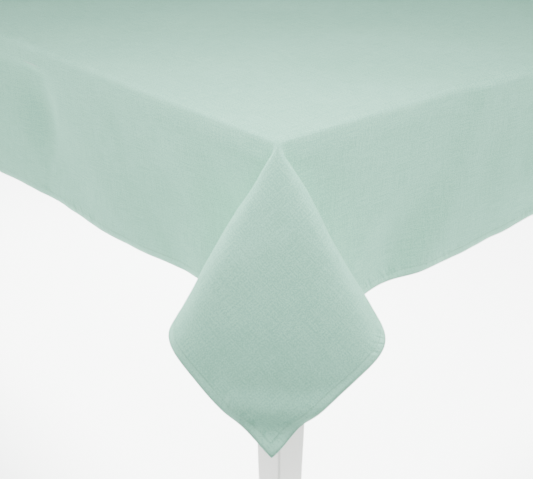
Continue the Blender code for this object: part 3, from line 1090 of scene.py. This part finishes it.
@dataclass
class Panel:
    """The woven panel: fine where it bends, coarse where it lies flat on the table."""

    surface: ClothSurface
    finish: bpy.types.Material
    thickness: float = 0.5 * MM
    flat_margin: float = 0.05
    coarse: int = 4

    def lying(self, axis: int) -> tuple[int, int]:
        """First and last grid line of the part that lies flat, a whole number of coarse cells.

        Args:
            axis: 0 for lines across the length, 1 for lines across the width.

        Returns:
            The numbers of the two lines.
        """
        line = self.surface.lines[axis]
        halves = (self.surface.drape.half_length, self.surface.drape.half_width)
        inside = np.flatnonzero(np.abs(line) <= halves[axis] - self.flat_margin)
        first, last = int(inside[0]), int(inside[-1])
        return first, first + (last - first) // self.coarse * self.coarse

    def layer(self) -> list[list[int]]:
        """Faces of one layer as grid point numbers.

        Returns:
            The faces.
        """
        count_u, count_v = self.surface.shape
        (u_first, u_last), (v_first, v_last) = self.lying(0), self.lying(1)
        faces = []
        for i in range(count_u - 1):
            for j in range(count_v - 1):
                if u_first <= i < u_last and v_first <= j < v_last:
                    continue
                corner = i * count_v + j
                faces.append([corner, corner + count_v, corner + count_v + 1, corner + 1])
        step = self.coarse
        for i in range(u_first, u_last, step):
            for j in range(v_first, v_last, step):
                faces.append(self.coarse_face(i, j, (u_first, u_last), (v_first, v_last)))
        return faces

    def coarse_face(
        self, i: int, j: int, u_ends: tuple[int, int], v_ends: tuple[int, int]
    ) -> list[int]:
        """A large face, with the fine points of its sides where it meets fine faces.

        Args:
            i: first grid line along the length.
            j: first grid line along the width.
            u_ends: first and last line of the flat part along the length.
            v_ends: first and last line of the flat part along the width.

        Returns:
            The grid point numbers round the face.
        """
        count_v = self.surface.shape[1]
        step = self.coarse
        loop = [(i + k, j) for k in range(step)]
        loop += [(i + step, j + k) for k in range(step)]
        loop += [(i + step - k, j + step) for k in range(step)]
        loop += [(i, j + step - k) for k in range(step)]
        kept = []
        for a, b in loop:
            corner = (a - i) % step == 0 and (b - j) % step == 0
            on_border = (a in u_ends and (b - j) % step) or (b in v_ends and (a - i) % step)
            if corner or on_border:
                kept.append(a * count_v + b)
        return kept

    def build(self) -> bpy.types.Object:
        """Make the panel with its two faces and its rim.

        Returns:
            The panel.
        """
        count_u, count_v = self.surface.shape
        faces = self.layer()
        used = np.unique(np.concatenate([np.array(face) for face in faces]))
        number = np.full(count_u * count_v, -1)
        number[used] = np.arange(len(used))
        inner = self.surface.places.reshape(-1, 3)[used]
        outer = inner + self.surface.normals.reshape(-1, 3)[used] * self.thickness
        top = [[int(number[k]) for k in face] for face in faces]
        under = [[k + len(used) for k in reversed(face)] for face in top]
        rim = [
            [second, first, first + len(used), second + len(used)]
            for first, second in rim_edges(number.reshape(count_u, count_v))
        ]
        flat = self.surface.flat_grid().reshape(-1, 2)[used]
        plane = np.hstack([flat, self.surface.edge_distance(flat)[:, None]])
        piece = add_piece(
            "woven_panel",
            np.vstack([outer, inner]),
            top + under + rim,
            self.finish,
            np.vstack([plane, plane]),
        )
        self.lay_out(piece, flat)
        return piece

    @staticmethod
    def lay_out(piece: bpy.types.Object, flat: np.ndarray) -> None:
        """Give the panel a flat map, its outer face above its inner face.

        Args:
            piece: the panel.
            flat: flat places of one layer of its points.
        """
        low, size = flat.min(axis=0), np.ptp(flat, axis=0)
        share = (flat - low) / size * (0.98, 0.48) + (0.01, 0.01)
        points = np.vstack([share, share + (0, 0.5)])
        corners = np.zeros(len(piece.data.loops), np.int32)
        piece.data.loops.foreach_get("vertex_index", corners)
        chart = piece.data.uv_layers.new(name="OFBake")
        chart.uv.foreach_set("vector", points[corners].astype(np.float32).ravel())


@dataclass
class Hem:
    """One side's hem: the edge turned under twice, seen as a band with a rounded lip."""

    surface: ClothSurface
    finish: bpy.types.Material
    side: Side
    mitre_gap: float = 0.12 * MM

    PROFILE = (
        (-12.0, -0.62),
        (-11.8, -0.2),
        (-10.4, -0.14),
        (-6.0, -0.12),
        (-0.42, -0.12),
        (-0.42, 0.46),
        (-0.16, 0.50),
        (0.10, 0.36),
        (0.28, 0.02),
        (0.30, -0.42),
        (0.12, -0.92),
        (-0.4, -1.16),
        (-6.0, -1.20),
        (-10.4, -1.02),
        (-11.7, -1.08),
    )  # millimetres past the cloth's edge, and out from the inner face

    def stations(self) -> np.ndarray:
        """Places along the side for each row of the profile: straight, with mitred ends.

        Returns:
            One row of places for each ring of the hem.
        """
        half = self.surface.half_side(self.side)
        line = self.surface.lines[1 - self.side.value[0]]
        stop = half + self.surface.drape.overhang - HEM_WIDTH - 2 * MM
        straight = line[np.abs(line) < stop]
        hang = self.surface.drape.overhang + np.array([row[0] for row in self.PROFILE]) * MM
        tip = half + hang - self.mitre_gap
        rows = [np.full(len(hang), place) for place in straight]
        for share in (0.25, 0.5, 0.75, 1.0):
            rows.append(stop * (1 - share) + tip * share)
            rows.insert(0, -(stop * (1 - share) + tip * share))
        return np.array(rows)

    def build(self) -> bpy.types.Object:
        """Make the hem.

        Returns:
            The hem.
        """
        rows = self.stations()
        profile = np.array(self.PROFILE) * MM
        hang = np.broadcast_to(self.surface.drape.overhang + profile[:, 0], rows.shape)
        flat = self.surface.on_side(self.side, rows.ravel(), hang.ravel())
        places, normals = self.surface.at(flat)
        out = np.broadcast_to(profile[:, 1], rows.shape).ravel()
        places = places + normals * out[:, None]
        count, width = rows.shape
        flip = self.side in (Side.BACK, Side.LEFT)
        faces = tube_faces(count, width, flip)
        plane = np.hstack([flat, np.full((len(flat), 1), BEYOND_HEM)])
        return add_piece(f"turned_hem_{self.side.title}", places, faces, self.finish, plane)


def rim_edges(grid: np.ndarray) -> list[tuple[int, int]]:
    """Each pair of neighbours round the border of a grid of point numbers.

    Args:
        grid: the point numbers.

    Returns:
        The pairs, in order round the border.
    """
    border = np.concatenate([grid[:, 0], grid[-1, 1:], grid[-2::-1, -1], grid[0, -2:0:-1]])
    return list(zip(border.tolist(), np.roll(border, -1).tolist()))


def tube_faces(count: int, width: int, flip: bool) -> list[list[int]]:
    """Faces of a closed tube of count rings that each have width points.

    Args:
        count: number of rings.
        width: number of points in a ring.
        flip: whether the faces turn the other way.

    Returns:
        The faces, with both ends closed.
    """
    faces = []
    for i in range(count - 1):
        for j in range(width):
            after = (j + 1) % width
            low, high = i * width, (i + 1) * width
            faces.append([low + j, low + after, high + after, high + j])
    faces.append(list(range(width))[::-1])
    faces.append([(count - 1) * width + j for j in range(width)])
    return [face[::-1] for face in faces] if flip else faces


@dataclass
class StitchRow:
    """Rows of separate stitches along a line on the cloth."""

    surface: ClothSurface
    finish: bpy.types.Material
    pitch: float = 3.1 * MM
    length: float = 2.5 * MM
    width: float = 0.5 * MM
    height: float = 0.34 * MM

    SIDES = 5
    SHAPE = (
        (0.0, -0.25, 0.55),
        (0.2, 0.75, 1.0),
        (0.8, 0.75, 1.0),
        (1.0, -0.25, 0.55),
    )  # place along the stitch, rise from the sewn face and girth, as shares

    def stitches(
        self, flat: np.ndarray, step: np.ndarray, lift: float, sign: float
    ) -> tuple[np.ndarray, list[list[int]]]:
        """Stitches that start at flat places.

        Args:
            flat: where each stitch starts on the flat cloth.
            step: unit direction of each stitch on the flat cloth.
            lift: distance of the sewn face from the cloth's inner face.
            sign: 1 for stitches on the outer face, -1 for stitches on the inner face.

        Returns:
            The points and the faces.
        """
        places, faces = [], []
        ring = len(self.SHAPE) * self.SIDES
        for share, rise, girth in self.SHAPE:
            here = flat + step * (self.length * share)
            middle, normal = self.surface.at(here)
            ahead, _ = self.surface.at(here + step * (0.3 * self.length))
            forward = ahead - middle
            forward /= np.linalg.norm(forward, axis=1)[:, None]
            beside = np.cross(forward, normal)
            centre = middle + normal * (lift + sign * rise * self.height * 0.5)
            for k in range(self.SIDES):
                turn = FULL_TURN * (k + 0.5) / self.SIDES
                across = beside * (math.cos(turn) * self.width * girth * 0.5)
                up = normal * (math.sin(turn) * self.height * girth * 0.5)
                places.append(centre + across + up)
        points = np.stack(places, axis=1).reshape(-1, 3)
        pattern = tube_faces(len(self.SHAPE), self.SIDES, True)
        for start in range(0, len(flat) * ring, ring):
            faces += [[start + k for k in face] for face in pattern]
        return points, faces

    def hem_row(self, side: Side, panel_thickness: float, hem_under: float) -> bpy.types.Object:
        """The needle thread outside and the bobbin thread inside one hem.

        Args:
            side: the side of the cloth.
            panel_thickness: distance of the outer face from the cloth's inner face.
            hem_under: distance of the hem's underside from the cloth's inner face.

        Returns:
            The stitches, as one piece.
        """
        half = self.surface.half_side(side)
        hang = self.surface.drape.overhang - HEM_WIDTH + self.surface.stitch_line
        end = half + hang - 2.5 * MM
        count = int(2 * end / self.pitch)
        starts = -end + (2 * end - count * self.pitch) / 2 + np.arange(count) * self.pitch
        parts = []
        for lift, sign, shift in ((panel_thickness, 1, 0.0), (-hem_under, -1, 0.5)):
            places = starts + shift * self.pitch
            flat = self.surface.on_side(side, places, np.full(count, hang))
            step = self.surface.on_side(side, places + 1.0, np.full(count, hang)) - flat
            parts.append(self.stitches(flat, step, lift, sign))
        offset = len(parts[0][0])
        faces = parts[0][1] + [[k + offset for k in face] for face in parts[1][1]]
        places = np.vstack([parts[0][0], parts[1][0]])
        return add_piece(f"stitching_{side.title}", places, faces, self.finish)


@dataclass
class SewnLabel:
    """A blank tape label sewn flat to the inside of the back drop."""

    surface: ClothSurface
    tape: bpy.types.Material
    thickness: float = 0.35 * MM
    from_edge: float = 12.6 * MM
    gap: float = 0.12 * MM
    puff: float = 0.5 * MM
    columns: int = 16
    rows: int = 20

    def build(self) -> bpy.types.Object:
        """Make the label where its plain solid lies.

        Returns:
            The label.
        """
        low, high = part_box("care_label")
        along = np.linspace(low[0], high[0], self.columns)
        tall = high[2] - low[2]
        seam = self.surface.drape.overhang - self.from_edge
        hang = np.linspace(seam - tall, seam, self.rows)
        grid = np.stack(np.meshgrid(along, hang, indexing="ij"), axis=-1).reshape(-1, 2)
        flat = self.surface.on_side(Side.BACK, grid[:, 0], grid[:, 1])
        places, normals = self.surface.at(flat)
        share = (grid[:, 1] - seam) / tall + 1
        middle = np.abs((grid[:, 0] - along.mean()) / np.ptp(along)) * 2
        puff = self.puff * np.sin(math.pi * share) * (1 - middle**2)
        near = places - normals * (self.gap + puff)[:, None]
        far = near - normals * self.thickness
        count = self.columns * self.rows
        faces = []
        for i in range(self.columns - 1):
            for j in range(self.rows - 1):
                corner = i * self.rows + j
                face = [corner, corner + self.rows, corner + self.rows + 1, corner + 1]
                faces += [face, [k + count for k in reversed(face)]]
        ids = np.arange(count).reshape(self.columns, self.rows)
        for first, second in rim_edges(ids):
            faces.append([first + count, second + count, second, first])
        return add_piece("sewn_label", np.vstack([near, far]), faces, self.tape)


# ---- sub-assemblies -------------------------------------------------------------------------


@dataclass
class Tablecloth:
    """The whole cloth: panel, hems, stitching and label."""

    overhang: float = 0.25
    stitch_line: float = 1.6 * MM
    panel_thickness: float = 0.5 * MM
    hem_under: float = 1.1 * MM

    LEANS = {("long", -1): -0.07, ("short", 1): -0.06, ("long", 1): -0.020, ("short", -1): -0.026}
    PLEATS = {
        (1, -1): (0.05, -0.02, 0.33, (-0.55, 0.30), 0.16, 0.42, -0.02),
        (1, 1): (0.10, 0.09, 0.35, (-0.52, 0.36), 0.14, 0.36, 0.02),
        (-1, 1): (0.12, 0.08, 0.36, (-0.50, 0.38), 0.17, 0.34, 0.01),
        (-1, -1): (0.10, 0.11, 0.38, (-0.53, 0.34), 0.15, 0.38, -0.02),
    }  # long tuck, short tuck, neck, wing, crest, crest width, lopsided
    FOLDS = {
        ("long", -1): (
            (0.54, 0.060, -4),
            (0.40, 0.060, 4.2),
            (0.08, 0.060, 10.7),
            (-0.16, 0.070, -4),
            (-0.34, 0.060, 9),
            (-0.52, 0.055, -5),
        ),
        ("short", 1): (
            (-0.30, 0.050, -11.8),
            (-0.09, 0.040, -2.4),
            (0.03, 0.055, -8.3),
            (0.16, 0.050, 6),
        ),
        ("long", 1): (
            (0.50, 0.060, -6),
            (0.32, 0.060, 9),
            (0.08, 0.070, -4),
            (-0.18, 0.060, 10),
            (-0.45, 0.060, -7),
        ),
        ("short", -1): (
            (-0.22, 0.060, -6),
            (-0.04, 0.050, 8),
            (0.20, 0.060, -7),
        ),
    }  # place and width in metres, depth in millimetres
    DIMPLES = {
        ("long", -1): (
            (0.70, 0.15, 0.060, 0.062, -14),
            (0.64, 0.20, 0.110, 0.080, -12),
            (0.25, 0.11, 0.050, 0.075, -18),
            (-0.25, 0.14, 0.060, 0.070, 5),
        ),
        ("short", 1): (
            (-0.080, 0.11, 0.030, 0.070, 5),
            (-0.26, 0.19, 0.050, 0.045, -6),
            (0.02, 0.11, 0.040, 0.075, 15),
        ),
        ("long", 1): (
            (0.20, 0.15, 0.060, 0.070, -5),
            (-0.34, 0.13, 0.050, 0.080, 5),
        ),
        ("short", -1): (
            (0.08, 0.14, 0.050, 0.070, -4),
        ),
    }  # place, distance down, width and height in metres, depth in millimetres

    def drape(self) -> Drape:
        """The way this cloth hangs on this table.

        Returns:
            The drape.
        """
        low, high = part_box("table_top")
        clearance = 0.3 * MM
        pleats = {
            (x, y): Pleat(self.LEANS["long", y], self.LEANS["short", x], *shape)
            for (x, y), shape in self.PLEATS.items()
        }
        folds = {
            side: [SoftFold(*sizes, depth * MM) for *sizes, depth in rows]
            for side, rows in self.FOLDS.items()
        }
        dimples = {
            side: [Dimple(*sizes, depth * MM) for *sizes, depth in rows]
            for side, rows in self.DIMPLES.items()
        }
        return Drape(
            half_length=float(high[0] - low[0]) / 2 + clearance,
            half_width=float(high[1] - low[1]) / 2 + clearance,
            level=float(high[2]) + clearance,
            overhang=self.overhang,
            pleats=pleats,
            folds=folds,
            dimples=dimples,
            slab=Slab(tuple(low), tuple(high)),
            gap=clearance,
        )

    def relax(self, surface: ClothSurface) -> None:
        """Give the hanging cloth its small unevenness and the pull of its hems.

        Args:
            surface: the hanging cloth, which is changed.
        """
        flat = surface.flat_grid().reshape(-1, 2)
        edge = surface.edge_distance(flat)
        past = np.abs(flat) - (surface.drape.half_length, surface.drape.half_width)
        hanging = soft_step(past.max(axis=1), 0.0, 0.08)
        heights = Ripple(11, 0.10, 0.26).heights(flat) * 1.6 * MM * hanging
        heights += Ripple(12, 0.04, 0.09).heights(flat) * 0.35 * MM * hanging
        gather = np.exp(-((edge / (16 * MM)) ** 2))
        heights += Ripple(13, 0.024, 0.05, 24).heights(flat) * 0.25 * MM * gather
        surface.press_out(heights.reshape(surface.shape))
        surface.clear_table()

    def build(self) -> list[bpy.types.Object]:
        """Make every piece of the cloth, and hide the plain solid that each one replaces.

        Returns:
            The panel, the hems, the rows of stitches and the label.
        """
        thread = SpunThread("sewing_thread", (0.43, 0.82, 0.63), (0.32, 0.66, 0.49)).build()
        tape = LabelTape("label_tape", (0.86, 0.86, 0.83), (0.72, 0.72, 0.69)).build()
        surface = ClothSurface(self.drape(), self.stitch_line)
        halves = (surface.drape.half_length, surface.drape.half_width)
        reach = tuple(half + self.overhang for half in halves)
        sage, deep_sage = (0.415, 0.84, 0.635), (0.27, 0.64, 0.465)
        cotton = WovenCotton("woven_cotton", sage, deep_sage, reach).build()
        self.relax(surface)
        panel = Panel(surface, cotton, self.panel_thickness).build()
        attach(panel, "tablecloth")
        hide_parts("cloth_panel")
        hems, rows = [], []
        for side in Side:
            hem = Hem(surface, cotton, side).build()
            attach(hem, "tablecloth")
            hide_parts(f"hem_{side.title}")
            hems.append(hem)
            row = StitchRow(surface, thread).hem_row(side, self.panel_thickness, self.hem_under)
            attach(row, "tablecloth")
            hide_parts(f"hem_thread_{side.title}")
            rows.append(row)
        label = SewnLabel(surface, tape).build()
        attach(label, "tablecloth")
        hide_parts("care_label")
        cut = tuple(2 * half for half in reach)
        return [panel, *hems, *rows, label]


@dataclass
class Table:
    """The finishes of the table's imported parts."""

    body: str = "table"

    def build(self) -> list[bpy.types.Object]:
        """Dress each part by its name.

        Returns:
            The parts.
        """
        wood = {grain: PaintedWood(f"painted_wood_{grain.name.lower()}", grain) for grain in Grain}
        paint = {grain: finish.build() for grain, finish in wood.items()}
        steel = ZincSteel("zinc_plated_steel").build()
        felt = Felt("glide_felt").build()
        finishes = {
            "table_top": paint[Grain.ALONG_X],
            "apron_front": paint[Grain.ALONG_X],
            "apron_back": paint[Grain.ALONG_X],
            "apron_left": paint[Grain.ALONG_Y],
            "apron_right": paint[Grain.ALONG_Y],
            "leg": paint[Grain.ALONG_Z],
            "glide": felt,
        }
        names = frame["record"]["behaviour"]["bodies"][self.body]
        for name in names:
            starts = [start for start in finishes if name.startswith(start)]
            for slot in frame["nodes"][name].material_slots:
                slot.material = finishes[starts[0]] if starts else steel
        return [frame["nodes"][name] for name in names]


@dataclass(frozen=True)
class Softbox:
    """A square soft light near the table, which faces the near corner of the top."""

    name: str
    offset: tuple[float, float, float]
    size: float
    power: float

    def build(self, corner: Vector) -> None:
        """Hang the light at its offset from the corner.

        Args:
            corner: the near corner of the top.
        """
        data = bpy.data.lights.new(self.name, "AREA")
        data.shape = "SQUARE"
        data.size = self.size
        data.energy = self.power
        lamp = add_object(self.name, data)
        lamp.location = corner + Vector(self.offset)
        lamp.rotation_euler = Vector(self.offset).to_track_quat("Z", "Y").to_euler()


@dataclass(frozen=True)
class WideWindow:
    """Even light from one side of the studio, as from a large far window."""

    name: str
    toward: tuple[float, float, float]
    strength: float
    spread: float = math.radians(40)

    def build(self) -> None:
        """Turn the light so that it comes from its side."""
        data = bpy.data.lights.new(self.name, "SUN")
        data.angle = self.spread
        data.energy = self.strength
        lamp = add_object(self.name, data)
        lamp.rotation_euler = Vector(self.toward).to_track_quat("Z", "Y").to_euler()


@dataclass
class Studio:
    """Floor, light and camera."""

    lens: float = 60.8
    film_width: float = 36.0
    from_corner: tuple[float, float, float] = (0.657, -0.591, 0.322)
    down: float = math.radians(26.23)
    turned: float = math.radians(48.78)
    air: float = 0.12
    horizon: float = 0.8
    haze_top: float = 0.4
    air_colour: Colour = (0.97, 0.985, 1.0)
    paper: float = 60.0
    paper_gap: float = 0.5 * MM
    lit_behind: float = 0.35
    lit_inset: float = 0.1

    SOFTBOXES = (
        Softbox("overhead_softbox", (0.14, -0.15, 0.62), 0.5, 12.5),
        Softbox("camera_fill", (0.85, -0.80, 1.15), 0.8, 5.5),
    )
    WINDOWS = (
        WideWindow("front_window", (-0.94, -0.36, 0.09), 7.4),
        WideWindow("right_window", (0.46, 0.89, 0.09), 6.0),
    )

    def floor(self) -> None:
        """A wide sheet of paper, just below the glides."""
        mesh = bpy.data.meshes.new("studio_floor")
        signs = ((-1, -1), (1, -1), (1, 1), (-1, 1))
        places = [(x * self.paper, y * self.paper, -self.paper_gap) for x, y in signs]
        mesh.from_pydata(places, [], [(0, 1, 2, 3)])
        low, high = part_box("table_top")
        lit_low = (float(low[0]) - self.lit_behind, float(low[1]) + self.lit_inset)
        lit_high = (float(high[0]) - self.lit_inset, float(high[1]) + self.lit_behind)
        mesh.materials.append(StudioPaper("studio_paper", lit_low, lit_high).build())
        sheet = add_object("studio_floor", mesh)

    def light_air(self) -> None:
        """Dim light from above, paler towards the horizon, where it meets the paper."""
        world = bpy.data.worlds.new("studio_air")
        air = Shading("studio_air", world)
        _, _, rise = air.parts(air.node("ShaderNodeTexCoord"))
        strength = rise.smooth(0.0, self.haze_top) * (self.air - self.horizon) + self.horizon
        air.finish(Color=self.air_colour, Strength=strength)
        bpy.context.scene.world = world

    def build(self) -> None:
        """Set the studio round the corner that faces the camera."""
        self.floor()
        low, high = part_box("table_top")
        corner = Vector((high[0], low[1], high[2]))
        self.light_air()
        for softbox in self.SOFTBOXES:
            softbox.build(corner)
        for window in self.WINDOWS:
            window.build()
        data = bpy.data.cameras.new("corner_camera")
        data.lens = self.lens
        data.sensor_width = self.film_width
        camera = add_object("corner_camera", data)
        camera.location = corner + Vector(self.from_corner)
        camera.rotation_euler = (RIGHT_ANGLE - self.down, 0.0, self.turned)
        bpy.context.scene.camera = camera


def main() -> None:
    """Build the table's finishes, the cloth and the studio, and report each piece."""
    logging.basicConfig(level=logging.INFO, format="%(name)s: %(message)s")
    for piece in Table().build() + Tablecloth().build():
        finish = piece.material_slots[0].material
        LOG.info("%s: %d points, %s", piece.name, len(piece.data.vertices), finish.name)
    Studio().build()


if __name__ == "__main__":
    main()
